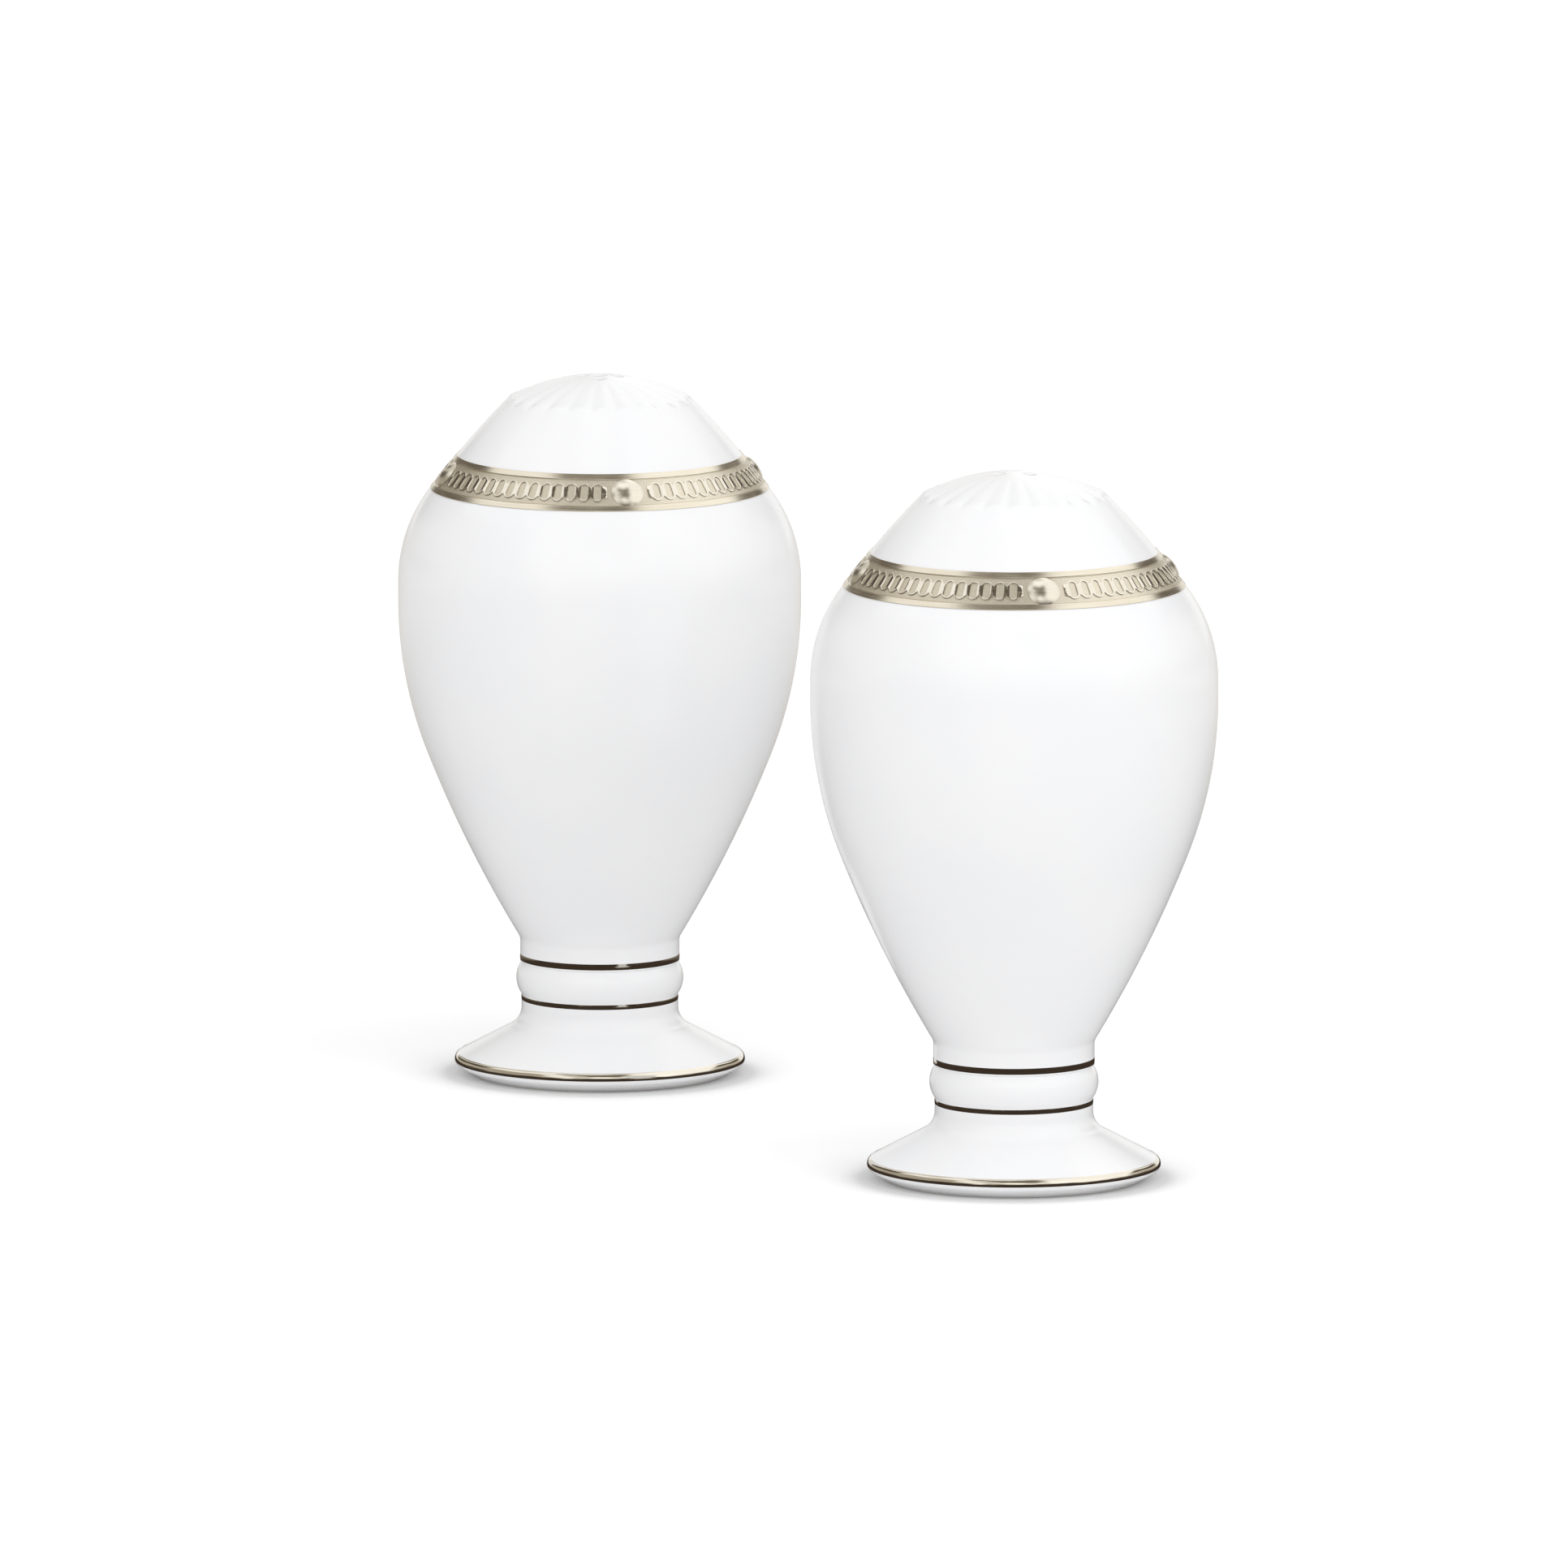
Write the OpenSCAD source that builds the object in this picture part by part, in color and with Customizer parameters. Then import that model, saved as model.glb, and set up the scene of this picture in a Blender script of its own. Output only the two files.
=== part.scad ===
// Pair of footed salt and pepper shakers in glazed bone china with platinum trim.
// Each shaker is a hollow egg-shaped body on a spreading foot, filled through the base.
// +Z is up, the feet stand on Z = 0, and the front of the pair faces -Y.

/* [Body] */
// Height of one shaker, foot to crown
height = 108; // [106:0.5:112]
// Largest radius, at the belly
belly_r = 30.85; // [30:0.05:32]
// Upper end of the upright stretch of the belly
belly_top_z = 76.3; // [75:0.1:77]
// Lower end of the upright stretch of the belly
belly_low_z = 73.3; // [72:0.1:74]
// Radius of the rounded shoulder between band and belly
shoulder_round = 23; // [22:0.5:24]
// Radius of the upper bowl, below the belly
bowl_round = 64; // [60:1:68]
// Lean of the wall where the upper bowl passes into the lower bowl
bowl_turn = 21.5; // [20:0.5:23]
// Radius of the flatter lower bowl
cone_round = 190; // [180:5:200]
// Lean of the wall where the bowl meets the neck
bowl_end = 31; // [30:0.5:32]
// Thickness of the china wall
wall = 3; // [2.4:0.1:3.4]

/* [Dome] */
// Radius of the rounded crown
crown_round = 29.8; // [29:0.2:31]
// Distance from the axis to the crown's edge, where the dome's side starts
crown_edge_r = 13.9; // [13.6:0.1:14.2]
// Radius of the gentle curve of the dome's side
dome_round = 120; // [100:10:160]
// Number of ribs round the crown
rib_count = 24; // [20:1:28]
// Radius of the round-bottomed valley between two ribs
valley_r = 1.2; // [1:0.1:1.4]
// Depth of a valley at the crown's edge
valley_depth = 0.2; // [0.14:0.02:0.26]
// Distance from the axis to where a valley would fade out on the crown
valley_fade_r = 5; // [4.6:0.1:5.4]
// Distance from the axis to a valley's inner end
valley_start_r = 6; // [5.8:0.1:6.4]
// Diameter of a pour hole
pour_d = 1.8; // [1.4:0.1:2.2]
// Radius of the ring of pour holes
pour_ring_r = 2.8; // [2.4:0.1:3.2]

/* [Band] */
// Lean of the band from upright
band_lean = 38.5; // [37:0.5:40]
// Width of the band down the slope
band_w = 6.6; // [6:0.1:7]
// Width of each plain rail of the band
rail_w = 1.1; // [0.9:0.1:1.3]
// Depth of the seat that the band lies in
band_seat = 0.3; // [0.2:0.05:0.4]
// Height of the rails over the china
rail_rise = 0.12; // [0.06:0.02:0.2]
// Width of the fine groove between rail and panel
groove_w = 0.16; // [0.1:0.02:0.2]

/* [Chain and bosses] */
// Links in each quarter of the band
link_count = 15; // [12:1:15]
// Angle from one link to the next
link_pitch = 4.85; // [4.7:0.05:4.9]
// Width of a link round the band
link_w = 1.92; // [1.7:0.02:2]
// Height of a link down the slope
link_h = 3.2; // [2.8:0.1:3.4]
// Width of the window in a link
window_w = 1.06; // [0.9:0.02:1.2]
// Height of the window in a link
window_h = 2.7; // [2.4:0.05:2.8]
// Height of the webs that join the links
web_h = 1.8; // [1.4:0.1:2]
// Length of the square tab that ends a chain
tab_len = 1.45; // [1.3:0.05:1.6]
// Height of the links over the panel
link_rise = 0.18; // [0.1:0.02:0.24]
// Diameter of a domed boss
boss_d = 4.7; // [4.4:0.1:5]
// Height of a boss over the panel
boss_rise = 0.75; // [0.5:0.05:0.9]
// Turn of the front boss from the front, to the right
boss_turn = 10.5; // [0:0.5:45]

/* [Neck] */
// Radius of the neck
neck_r = 12.2; // [12:0.05:12.4]
// Height of the middle of the bead round the neck
bead_z = 14.9; // [14.6:0.1:15.2]
// Radius of the bead's rounded section
bead_round = 4.15; // [4:0.05:4.3]
// Reach of the bead from the axis
bead_r = 12.8; // [12.7:0.05:12.9]
// Height of the middle of the upper platinum line
line_top_z = 18.15; // [18:0.05:18.3]
// Height of the middle of the lower platinum line
line_low_z = 11.9; // [11.8:0.1:12]
// Width of the upper platinum line
line_top_w = 0.92; // [0.8:0.02:1]
// Width of the lower platinum line
line_low_w = 0.72; // [0.6:0.02:0.8]

/* [Foot] */
// Radius of the waist above the foot
waist_r = 12; // [11.9:0.05:12.1]
// Height where the waist starts to spread
waist_z = 10.4; // [10.2:0.1:10.6]
// Radius of the hollow sweep from waist to foot
sweep_round = 3.4; // [3.2:0.1:3.6]
// Slope of the foot's top from the horizontal
foot_slope = 28; // [27:0.5:29]
// Radius of the foot at its edge
foot_r = 22.2; // [21.9:0.1:22.5]
// Radius of the foot's rounded edge
edge_round = 1.1; // [1:0.05:1.2]
// Radius of the inner side of the standing ring
ring_in_r = 17.6; // [17:0.1:18]
// Height of the recess under the base
recess_h = 2.4; // [2.2:0.1:2.6]
// Draft of the recess, how much narrower it is at its top
recess_draft = 0.8; // [0.4:0.1:1]
// Thickness of the floor round the fill hole
floor_t = 2.8; // [2.6:0.1:3]
// Diameter of the fill hole
fill_d = 16; // [15:0.5:17]

/* [Stopper] */
// Diameter of the stopper's flange
flange_d = 20.6; // [20:0.2:22]
// Thickness of the flange
flange_t = 1.35; // [1.1:0.05:1.5]
// Height of the plug over the flange
plug_h = 6.6; // [6:0.1:7]
// Thickness of the plug's wall
plug_wall = 1.5; // [1.3:0.1:1.8]
// Thickness of the finger bar across the plug
bar_t = 2.4; // [2:0.1:3]
// Space left round the plug in the fill hole
plug_gap = 0.05; // [0.02:0.01:0.1]
// Width of a sealing rib round the plug
seal_w = 0.9; // [0.7:0.05:1]
// Height of a sealing rib, and the length of its slopes
seal_rise = 0.3; // [0.2:0.02:0.32]
// Draft of the plug's end
plug_draft = 0.6; // [0.4:0.05:0.8]
// Bevel of the flange's lower edge
flange_bevel = 0.4; // [0.2:0.05:0.6]
// Depth of the finger bar's edge above the flange's face
bar_setback = 0.3; // [0.1:0.05:0.6]

/* [Placement] */
// Distance between the two axes, left to right
pair_dx = 63; // [62.5:0.5:70]
// Distance between the two axes, front to back
pair_dy = 103; // [80:1:120]

/* [Hidden] */
$fn = 240;
china = [0.95, 0.95, 0.96];
platinum = [0.70, 0.67, 0.61];
etched_platinum = [0.75, 0.71, 0.62];
rubber = [0.86, 0.86, 0.84];
front = -90;
ornament_turn = front + boss_turn;
boss_count = 4;
salt_place = [-pair_dx / 2, pair_dy / 2, 0];
pepper_place = [pair_dx / 2, -pair_dy / 2, 0];
arc_step = 3;
slack = 1;

// Direction of a surface that faces outwards at an angle over the horizontal
function facing(a) = [cos(a), sin(a)];
// Direction down a surface that faces outwards at that angle
function downhill(a) = [sin(a), -cos(a)];
// Points on a rounded stretch, from one facing to the next, sunk by a depth below the surface.
// A round with a negative radius is hollow.
function rounded(centre, radius, from, to, depth = 0) =
    let (steps = max(2, ceil(abs(to - from) / arc_step)))
    [for (i = [0:steps]) centre + (radius - depth) * facing(from + (to - from) * i / steps)];

// Band: its lower edge is where the shoulder faces as the band does
shoulder_c = [belly_r - shoulder_round, belly_top_z];
band_low = shoulder_c + shoulder_round * facing(band_lean);
band_top = band_low - band_w * downhill(band_lean);

// Bowl: two rounds that meet at one lean, and a hollow round into the neck
bowl_c = [belly_r - bowl_round, belly_low_z];
bowl_p = bowl_c + bowl_round * facing(-bowl_turn);
cone_c = bowl_p - cone_round * facing(-bowl_turn);
bowl_foot = cone_c + cone_round * facing(-bowl_end);
neck_round = (bowl_foot[0] - neck_r) / (1 - cos(bowl_end));
neck_c = bowl_foot + neck_round * facing(-bowl_end);

// Foot: a hollow sweep, a straight slope and a rounded edge
foot_face = 90 - foot_slope;
sweep_c = [waist_r + sweep_round, waist_z];
slope_p = sweep_c - sweep_round * facing(foot_face);
edge_reach = foot_r - edge_round;
slope_run = (edge_reach + edge_round * cos(foot_face) - slope_p[0]) / sin(foot_face);
edge_c = [edge_reach, (slope_p + slope_run * downhill(foot_face) - edge_round * facing(foot_face))[1]];
edge_under = -60;
edge_low = edge_c + edge_round * facing(edge_under);
ring_out_r = edge_low[0] - edge_low[1] * tan(-edge_under);

// Bead round the neck
bead_c = [bead_r - bead_round, bead_z];
bead_face = acos((waist_r - bead_c[0]) / bead_round);

// Dome: rounded crown and gently curved side
crown_c = [0, height - crown_round];
crown_face = acos(crown_edge_r / crown_round);
crown_p = crown_c + crown_round * facing(crown_face);
side_chord = norm(band_top - crown_p);
side_mid = atan2(band_top[0] - crown_p[0], crown_p[1] - band_top[1]);
side_half = asin(side_chord / 2 / dome_round);
side_c = band_top - dome_round * facing(side_mid - side_half);

// Valleys between the ribs: their floor is an arc about the axis that sinks slowly into the crown
fade_p = crown_c + crown_round * facing(acos(valley_fade_r / crown_round));
deep_p = crown_p - [0, valley_depth];
valley_z = (deep_p * deep_p - fade_p * fade_p) / (2 * (deep_p[1] - fade_p[1]));
valley_round = norm(deep_p - [0, valley_z]) + valley_r;
valley_start = acos(valley_start_r / valley_round);
valley_end = acos((crown_edge_r + valley_r) / valley_round);

// Inside of the body
floor_z = recess_h + floor_t;
inner_sweep = acos((waist_z - floor_z) / (sweep_round + wall));

// Trim layers: depth sunk into the china and height over it
line_seat = 0.15;
line_rise = 0.05;
groove_depth = 0.05;
panel_rise = 0.02;
edge_line_face = [58, -12];

// Profile of the outside, half section from crown to standing ring
outside = concat(
    rounded(crown_c, crown_round, 90, crown_face),
    rounded(side_c, dome_round, side_mid + side_half, side_mid - side_half),
    rounded(shoulder_c, shoulder_round, band_lean, 0),
    rounded(bowl_c, bowl_round, 0, -bowl_turn),
    rounded(cone_c, cone_round, -bowl_turn, -bowl_end),
    rounded(neck_c, -neck_round, -bowl_end, 0),
    [[neck_r, line_top_z - line_top_w / 2 - line_seat], [waist_r, bead_z + bead_round * sin(bead_face)]],
    rounded(bead_c, bead_round, bead_face, -bead_face),
    rounded(sweep_c, -sweep_round, 0, foot_face),
    rounded(edge_c, edge_round, foot_face, edge_under),
    [[ring_out_r, 0], [0, 0]]);

// Profile of the hollow, sunk one wall below the outside
inside = concat(
    rounded(crown_c, crown_round, 90, crown_face, wall),
    rounded(side_c, dome_round, side_mid + side_half, side_mid - side_half, wall),
    rounded(shoulder_c, shoulder_round, band_lean, 0, wall),
    rounded(bowl_c, bowl_round, 0, -bowl_turn, wall),
    rounded(cone_c, cone_round, -bowl_turn, -bowl_end, wall),
    rounded(sweep_c, -sweep_round, 0, 90 - inner_sweep, wall),
    [[0, floor_z]]);

// Where a point lies on the band: along its width from the top edge, and over the china
function on_band(along, over) = band_top + along * downhill(band_lean) + over * facing(band_lean);

// Half section of a layer on the band, between two distances along it and two heights over the china
function band_layer(from, to, under, over) =
    [on_band(from, under), on_band(from, over), on_band(to, over), on_band(to, under)];

// Half section of the line on the foot's edge, standing over the china by a height
function edge_section(over) = concat(
    rounded(edge_c, edge_round, edge_line_face[0], edge_line_face[1], line_seat),
    rounded(edge_c, edge_round, edge_line_face[1], edge_line_face[0], -over));

// Half section of the band's ring: two rails, two grooves and the sunk panel between
band_section = [
    on_band(0, -band_seat), on_band(0, rail_rise), on_band(rail_w - groove_w, rail_rise),
    on_band(rail_w - groove_w, -groove_depth), on_band(rail_w, -groove_depth),
    on_band(rail_w, panel_rise), on_band(band_w - rail_w, panel_rise),
    on_band(band_w - rail_w, -groove_depth), on_band(band_w - rail_w + groove_w, -groove_depth),
    on_band(band_w - rail_w + groove_w, rail_rise), on_band(band_w, rail_rise),
    on_band(band_w, -band_seat)];

// Pieces placed on the band face along +Z here, with X round the band and Y up the slope
module on_panel(turn) {
    middle = on_band(band_w / 2, panel_rise);
    rotate([0, 0, turn])
        translate([middle[0], 0, middle[1]])
            rotate([0, 90 - band_lean, 0])
                rotate([0, 0, 90])
                    children();
}

module spun(section) {
    rotate_extrude() polygon(section);
}

// Straight ring round the axis, used for the fine lines
module hoop(inner_r, outer_r, middle_z, width) {
    rotate_extrude()
        translate([inner_r, middle_z - width / 2])
            square([outer_r - inner_r, width]);
}

// Seats in the china for the platinum trim
module trim_seats() {
    spun(band_layer(0, band_w, -band_seat, slack));
    hoop(neck_r - line_seat, neck_r + slack, line_top_z, line_top_w);
    hoop(waist_r - line_seat, waist_r + slack, line_low_z, line_low_w);
    spun(edge_section(slack));
}

// Round-bottomed valley between two ribs of the crown, deepest where it runs out over the edge
module rib_valley() {
    translate([0, 0, valley_z])
        rotate([90, 0, 0])
            rotate([0, 0, valley_end])
                rotate_extrude(angle = valley_start - valley_end)
                    translate([valley_round, 0]) circle(valley_r);
}

// Pour holes through the crown: one in the middle if wanted, the rest in a ring
module pour_holes(ring_count, middle) {
    deep = 4 * wall;
    for (i = [0:ring_count - 1])
        rotate([0, 0, front + 180 + 360 * i / ring_count])
            translate([pour_ring_r, 0, height - deep])
                cylinder(d = pour_d, h = deep + slack);
    if (middle)
        translate([0, 0, height - deep]) cylinder(d = pour_d, h = deep + slack);
}

// China body: ribbed dome, egg bowl, beaded neck and spreading foot, hollow inside
module body(ring_count, middle) {
    color(china)
        difference() {
            spun(outside);
            for (i = [0:rib_count - 1])
                rotate([0, 0, ornament_turn + i * 360 / rib_count]) rib_valley();
            spun(inside);
            trim_seats();
            translate([0, 0, -slack]) cylinder(d = fill_d, h = floor_z + 2 * slack);
            spun([[0, -slack], [ring_in_r, -slack], [ring_in_r, 0],
                  [ring_in_r - recess_draft, recess_h], [0, recess_h]]);
            pour_holes(ring_count, middle);
        }
}

// Soft stopper: flange under the base, hollow plug with two sealing ribs, and a finger bar
module stopper() {
    flange_top = recess_h - plug_gap;
    flange_z = flange_top - flange_t;
    top_z = flange_top + plug_h;
    seal_r = fill_d / 2 - plug_gap;
    stem_r = seal_r - seal_rise;
    end_r = stem_r - plug_draft;
    low_seal_z = flange_top + seal_w / 2 + 2 * seal_rise;
    function seal_rib(z) = [
        [stem_r, z - seal_w / 2 - seal_rise], [seal_r, z - seal_w / 2],
        [seal_r, z + seal_w / 2], [stem_r, z + seal_w / 2 + seal_rise]];
    color(rubber) {
        difference() {
            spun(concat(
                [[0, flange_z], [flange_d / 2 - flange_bevel, flange_z]],
                [[flange_d / 2, flange_z + flange_bevel], [flange_d / 2, flange_top], [stem_r, flange_top]],
                seal_rib(low_seal_z), seal_rib(floor_z),
                [[end_r, top_z], [0, top_z]]));
            translate([0, 0, flange_z - slack])
                cylinder(r = end_r - plug_wall, h = plug_h + flange_t - plug_wall + slack);
        }
        intersection() {
            translate([-bar_t / 2, -seal_r, flange_z + bar_setback])
                cube([bar_t, 2 * seal_r, plug_h + flange_t - plug_wall / 2 - bar_setback]);
            cylinder(r = end_r - plug_wall / 2, h = top_z);
        }
    }
}

// Ring of the platinum band
module band_ring() {
    spun(band_section);
}

// Platinum band: etched panel between two polished rails
module band() {
    color(etched_platinum) band_ring();
}

// One link with half a web on each side, or a square tab on the side where the chain ends
module link_plate(first, last) {
    half_pitch = link_pitch / 2 * PI / 180 * on_band(band_w / 2, link_rise)[0];
    left = first ? tab_len : half_pitch;
    right = last ? tab_len : half_pitch;
    linear_extrude(link_rise)
        difference() {
            union() {
                stadium(link_w, link_h);
                translate([-left, -web_h / 2]) square([left + right, web_h]);
            }
            stadium(window_w, window_h);
        }
}

// Upright flat outline with round ends
module stadium(w, h) {
    square([w, h - w], center = true);
    for (end = [-1, 1])
        translate([0, end * (h - w) / 2]) circle(d = w);
}

// Chain of upright oval links in one quarter of the band, each lying on the panel along its middle
module chain_quarter() {
    first_turn = (360 / boss_count - (link_count - 1) * link_pitch) / 2;
    for (i = [0:link_count - 1])
        on_panel(first_turn + i * link_pitch) link_plate(i == 0, i == link_count - 1);
}

// Polished chain, four quarters between the bosses
module band_links() {
    color(platinum)
        for (quarter = [0:boss_count - 1])
            rotate([0, 0, ornament_turn + quarter * 360 / boss_count]) chain_quarter();
}

// Polished domed bosses at the quarters of the band, seated on the panel and between the rails
module band_bosses() {
    dome_r = (pow(boss_d / 2, 2) + pow(boss_rise, 2)) / (2 * boss_rise);
    color(platinum)
        difference() {
            intersection() {
                for (quarter = [0:boss_count - 1])
                    on_panel(ornament_turn + quarter * 360 / boss_count)
                        translate([0, 0, boss_rise - dome_r]) sphere(dome_r);
                spun(band_layer(0, band_w, panel_rise, slack));
            }
            band_ring();
        }
}

// Platinum line round the top of the neck
module neck_line_upper() {
    color(platinum) hoop(neck_r - line_seat, neck_r + line_rise, line_top_z, line_top_w);
}

// Platinum line round the waist
module neck_line_lower() {
    color(platinum) hoop(waist_r - line_seat, waist_r + line_rise, line_low_z, line_low_w);
}

// Platinum line on the foot's edge
module foot_line() {
    color(platinum) spun(edge_section(line_rise));
}

translate(salt_place) body(4, true);  // salt_body
translate(salt_place) stopper();  // salt_stopper
translate(salt_place) band();  // salt_band
translate(salt_place) band_links();  // salt_band_links
translate(salt_place) band_bosses();  // salt_band_bosses
translate(salt_place) neck_line_upper();  // salt_neck_line_upper
translate(salt_place) neck_line_lower();  // salt_neck_line_lower
translate(salt_place) foot_line();  // salt_foot_line
translate(pepper_place) body(3, false);  // pepper_body
translate(pepper_place) stopper();  // pepper_stopper
translate(pepper_place) band();  // pepper_band
translate(pepper_place) band_links();  // pepper_band_links
translate(pepper_place) band_bosses();  // pepper_band_bosses
translate(pepper_place) neck_line_upper();  // pepper_neck_line_upper
translate(pepper_place) neck_line_lower();  // pepper_neck_line_lower
translate(pepper_place) foot_line();  // pepper_foot_line
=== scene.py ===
import math

import bpy
from mathutils import Matrix, Vector


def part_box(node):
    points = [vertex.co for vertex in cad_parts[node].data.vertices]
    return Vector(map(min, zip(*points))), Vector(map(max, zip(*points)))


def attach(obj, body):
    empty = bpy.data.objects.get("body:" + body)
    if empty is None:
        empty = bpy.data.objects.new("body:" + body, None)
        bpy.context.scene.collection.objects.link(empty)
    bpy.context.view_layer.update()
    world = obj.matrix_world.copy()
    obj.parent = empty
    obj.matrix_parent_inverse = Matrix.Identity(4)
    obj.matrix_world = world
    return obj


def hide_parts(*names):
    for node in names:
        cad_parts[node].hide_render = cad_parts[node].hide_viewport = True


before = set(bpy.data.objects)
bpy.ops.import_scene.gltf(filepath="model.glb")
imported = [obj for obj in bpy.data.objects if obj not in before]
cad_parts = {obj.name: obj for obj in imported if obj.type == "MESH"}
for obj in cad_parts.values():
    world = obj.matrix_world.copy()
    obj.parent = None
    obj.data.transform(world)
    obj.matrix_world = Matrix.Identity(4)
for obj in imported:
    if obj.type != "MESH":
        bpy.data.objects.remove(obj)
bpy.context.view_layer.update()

MM = 0.001

# Sizes of one shaker in millimetres and degrees. They are the construction's, apart from the crown's ribs,
# the height of the links and the fine lines, the bosses' width and the eased edges, which suit the picture
HEIGHT = (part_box("salt_body")[1].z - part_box("salt_body")[0].z) / MM
BELLY_R = 30.85
BELLY_TOP_Z = 76.3
BELLY_LOW_Z = 73.3
SHOULDER_ROUND = 23
BOWL_ROUND = 64
BOWL_TURN = 21.5
CONE_ROUND = 190
BOWL_END = 31
WALL = 3

# Crown and dome
CROWN_ROUND = 29.8
CROWN_EDGE_R = 13.9
DOME_ROUND = 120
RIB_COUNT = 24
VALLEY_DEPTH = 0.28
VALLEY_FADE_R = 5
VALLEY_RUN_OUT = 0.7
VALLEY_SOFT = 0.14
NOSE_RISE = 0.14
NOSE_LEN = 0.9
POUR_D = 1.8
POUR_RING_R = 2.8
POUR_LIP = 0.4

# Band
BAND_LEAN = 38.5
BAND_W = 6.6
RAIL_W = 1.1
BAND_SEAT = 0.3
RAIL_RISE = 0.12
GROOVE_W = 0.16
GROOVE_DEPTH = 0.05
PANEL_RISE = 0.02
RAIL_EDGE = 0.05

# Chain and bosses
LINK_COUNT = 15
LINK_PITCH = 4.85
LINK_W = 1.92
LINK_H = 3.2
WINDOW_W = 1.06
WINDOW_H = 2.7
TAB_LEN = 1.45
WEB_SPREAD = 20
LINK_RISE = 0.14
LINK_SINK = 0.06
LINK_EDGE = 0.05
BOSS_COUNT = 4
BOSS_D = 4.9
BOSS_RISE = 0.75
BOSS_TURN = 10.5

# Neck and its two lines
NECK_R = 12.2
BEAD_Z = 14.9
BEAD_ROUND = 4.15
BEAD_R = 12.8
LINE_TOP_Z = 18.15
LINE_TOP_W = 0.92
LINE_LOW_Z = 11.9
LINE_LOW_W = 0.72
LINE_SEAT = 0.15
LINE_RISE = 0.03

# Foot
WAIST_R = 12
WAIST_Z = 10.4
SWEEP_ROUND = 3.4
FOOT_SLOPE = 28
FOOT_R = 22.2
EDGE_ROUND = 1.1
EDGE_UNDER = -60
EDGE_LINE_FACE = (58, -12)
RING_IN_R = 17.6
RECESS_H = 2.4
RECESS_DRAFT = 0.8
FLOOR_T = 2.8
FILL_D = 16
FOOT_EASE = 0.35
FILL_EASE = 0.3

# Stopper
FLANGE_D = 20.6
FLANGE_T = 1.35
PLUG_H = 6.6
PLUG_WALL = 1.5
BAR_T = 2.4
PLUG_GAP = 0.05
SEAL_W = 0.9
SEAL_RISE = 0.3
PLUG_DRAFT = 0.6
FLANGE_BEVEL = 0.4
BAR_SETBACK = 0.3
STOPPER_EDGE_ANGLE = 35

# Fineness of the meshes: steps round an axis, the spacing of rings in millimetres, and how many of the
# ribs' rings make one on the plain side of the dome
TURN_STEPS = 12 * RIB_COUNT
DRILL_STEPS = 48
LINK_STEPS = 24
BOSS_STEPS = 64
STOPPER_STEPS = 96
EASE_STEPS = 5
CROWNING_STEPS = 8
RIB_RING = 0.25
PLAIN_RING = 0.8
SMALL_RING = 0.3
FINE_RING = 0.2
BOSS_RING = 0.15
LINE_RING = 0.12
INSIDE_RING = 3
INSIDE_BEND_RING = 2
SIDE_RINGS = 6
SMOOTH_ANGLE = 40
MERGE = 0.002 * MM

# Sizes that follow from the ones above
FRONT_BOSS = math.radians(-90 + BOSS_TURN)
FOOT_FACE = 90 - FOOT_SLOPE
FLOOR_Z = RECESS_H + FLOOR_T


def middle(node):
    """Place of a node's axis on the table."""
    low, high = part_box(node)
    return Vector(((low.x + high.x) / 2, (low.y + high.y) / 2, 0))


PLACES = {"salt": middle("salt_body"), "pepper": middle("pepper_body")}


# Half sections: points are (distance from the axis, height) in millimetres

def facing(angle):
    """Direction of a surface that faces outwards at an angle over the horizontal."""
    a = math.radians(angle)
    return Vector((math.cos(a), math.sin(a)))


def downhill(angle):
    """Direction down a surface that faces outwards at that angle."""
    a = math.radians(angle)
    return Vector((math.sin(a), -math.cos(a)))


def rounded(centre, radius, start, end, depth=0.0, spacing=PLAIN_RING):
    """Points on a round stretch from one facing to the next; a negative radius is a hollow one."""
    length = math.radians(abs(end - start)) * abs(radius - depth)
    steps = max(4, math.ceil(length / spacing))
    return [centre + (radius - depth) * facing(start + (end - start) * i / steps) for i in range(steps + 1)]


def straight(start, end, spacing=PLAIN_RING):
    """Points between two ends of a straight stretch, without the ends."""
    steps = max(1, math.ceil((end - start).length / spacing))
    return [start.lerp(end, i / steps) for i in range(1, steps)]


def eased(before, corner, after, radius, steps=EASE_STEPS):
    """Points of a rounded corner, tangent to the straight stretches on its two sides."""
    a = (before - corner).normalized()
    b = (after - corner).normalized()
    half = a.angle(b) / 2
    reach = radius / math.tan(half)
    centre = corner + (a + b).normalized() * radius / math.sin(half)
    first = (corner + a * reach) - centre
    turn = math.atan2(first.cross(corner + b * reach - centre), first.dot(corner + b * reach - centre))
    points = []
    for i in range(steps + 1):
        angle = turn * i / steps
        points.append(centre + Matrix.Rotation(angle, 2) @ first)
    return points


# Where the stretches of the half section meet: centres, ends and facings
shoulder_c = Vector((BELLY_R - SHOULDER_ROUND, BELLY_TOP_Z))
band_low = shoulder_c + SHOULDER_ROUND * facing(BAND_LEAN)
band_top = band_low - BAND_W * downhill(BAND_LEAN)
bowl_c = Vector((BELLY_R - BOWL_ROUND, BELLY_LOW_Z))
cone_c = bowl_c + (BOWL_ROUND - CONE_ROUND) * facing(-BOWL_TURN)
bowl_foot = cone_c + CONE_ROUND * facing(-BOWL_END)
neck_round = (bowl_foot.x - NECK_R) / (1 - math.cos(math.radians(BOWL_END)))
neck_c = bowl_foot + neck_round * facing(-BOWL_END)
bead_c = Vector((BEAD_R - BEAD_ROUND, BEAD_Z))
bead_face = math.degrees(math.acos((WAIST_R - bead_c.x) / BEAD_ROUND))
sweep_c = Vector((WAIST_R + SWEEP_ROUND, WAIST_Z))
slope_p = sweep_c - SWEEP_ROUND * facing(FOOT_FACE)
edge_top_r = FOOT_R - EDGE_ROUND + EDGE_ROUND * facing(FOOT_FACE).x
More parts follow.
